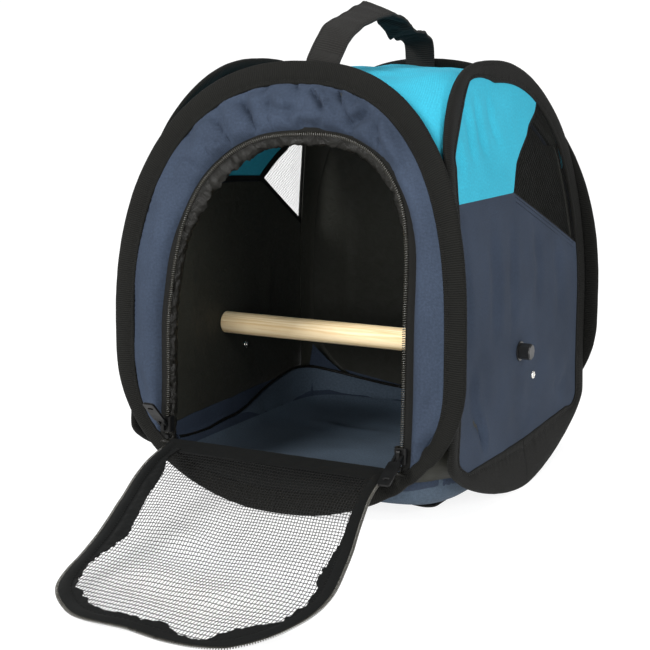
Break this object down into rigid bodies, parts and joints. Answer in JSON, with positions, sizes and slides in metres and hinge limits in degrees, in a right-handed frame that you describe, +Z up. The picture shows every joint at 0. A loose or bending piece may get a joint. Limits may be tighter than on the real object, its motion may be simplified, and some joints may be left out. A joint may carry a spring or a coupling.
{
  "type": "bird travel carrier",
  "caption": "Soft pop-up carrier for a small bird: fabric cabin on spring hoops, mesh door that unzips at the front, wooden perch and webbing handle.",
  "frame": {"origin": "centre of the underside of the base, on the surface that the carrier stands on", "axes": "+Z up, -Y out of the door opening, +X to the right of someone facing the door"},
  "size_m": [0.272, 0.5148, 0.347],
  "materials": {
    "ribbed_tape": "ribbed polyester binding",
    "spring_steel": "tempered strip",
    "navy_fabric": "plain-weave polyester",
    "turquoise_fabric": "plain-weave polyester",
    "black_mesh": "open knitted mesh",
    "black_lining": "coated polyester lining",
    "black_tape": "woven tape",
    "zip_coil": "nylon coil",
    "black_enamel": "gloss black enamel",
    "webbing": "flat woven webbing",
    "pine": "plain sanded pine",
    "zinc_steel": "zinc plated",
    "black_plastic": "moulded",
    "nickel": "nickel plated"
  },
  "bodies": {
    "shell": {"back_binding": "ribbed_tape", "back_hoop": "spring_steel", "back_lining": "black_lining", "back_panel": "navy_fabric", "bottom_panel": "navy_fabric", "floor_pad": "navy_fabric", "front_binding": "ribbed_tape", "front_hoop": "spring_steel", "front_lining": "black_lining", "front_panel": "navy_fabric", "handle": "webbing", "left_binding": "ribbed_tape", "left_hoop": "spring_steel", "left_lining": "black_lining", "left_lower_panel": "navy_fabric", "left_upper_panel": "turquoise_fabric", "left_window_mesh": "black_mesh", "opening_zip_tape": "ribbed_tape", "opening_zip_teeth": "zip_coil", "perch": "pine", "perch_studs": "zinc_steel", "perch_washers": "zinc_steel", "right_binding": "ribbed_tape", "right_hoop": "spring_steel", "right_lining": "black_lining", "right_lower_panel": "navy_fabric", "right_upper_panel": "turquoise_fabric", "right_window_mesh": "black_mesh", "roof_panel": "turquoise_fabric", "sill_strip": "black_lining", "spare_eyelets": "nickel", "storage_loop": "webbing", "zip_end_stops": "black_enamel"},
    "door_hem": {"door_hem": "black_tape"},
    "door": {"door_border": "black_tape", "door_mesh": "black_mesh", "door_zip_teeth": "zip_coil"},
    "zip_slider_left": {"zip_slider_left": "black_enamel"},
    "zip_slider_right": {"zip_slider_right": "black_enamel"},
    "zip_pull_left": {"zip_pull_left": "black_enamel"},
    "zip_pull_right": {"zip_pull_right": "black_enamel"},
    "perch_knob_left": {"perch_knob_left": "black_plastic"},
    "perch_knob_right": {"perch_knob_right": "black_plastic"}
  },
  "joints": [
    {"name": "door_hinge", "type": "hinge", "parent": "shell", "child": "door_hem", "pos_m": [0, -0.1415, 0.0385], "axis": [-1, 0, 0], "range_deg": [0, 104.6]},
    {"name": "door_sway", "type": "slide", "parent": "door_hem", "child": "door", "axis": [0.9487, -0.3122, -0.0506], "range_m": [-0.0448, 0]},
    {"name": "zip_slide_left", "type": "slide", "parent": "shell", "child": "zip_slider_left", "axis": [0, 0.033, 0.9995], "range_m": [0, 0.075]},
    {"name": "zip_slide_right", "type": "slide", "parent": "shell", "child": "zip_slider_right", "axis": [0, 0.033, 0.9995], "range_m": [0, 0.075]},
    {"name": "zip_pull_swing_left", "type": "hinge", "parent": "zip_slider_left", "child": "zip_pull_left", "pos_m": [-0.092, -0.1424, 0.05066], "axis": [-1, 0, 0], "range_deg": [-75, 42]},
    {"name": "zip_pull_swing_right", "type": "hinge", "parent": "zip_slider_right", "child": "zip_pull_right", "pos_m": [0.092, -0.1424, 0.05066], "axis": [-1, 0, 0], "range_deg": [0, 117]},
    {"name": "perch_knob_turn_left", "type": "hinge", "parent": "shell", "child": "perch_knob_left", "pos_m": [-0.13, -0.009, 0.101], "axis": [-1, 0, 0], "continuous": true},
    {"name": "perch_knob_turn_right", "type": "hinge", "parent": "shell", "child": "perch_knob_right", "pos_m": [0.13, -0.009, 0.101], "axis": [1, 0, 0], "continuous": true}
  ],
  "couplings": [
    {"joint": "door_sway", "follows": "door_hinge", "m_per_rad": -0.02425}
  ]
}
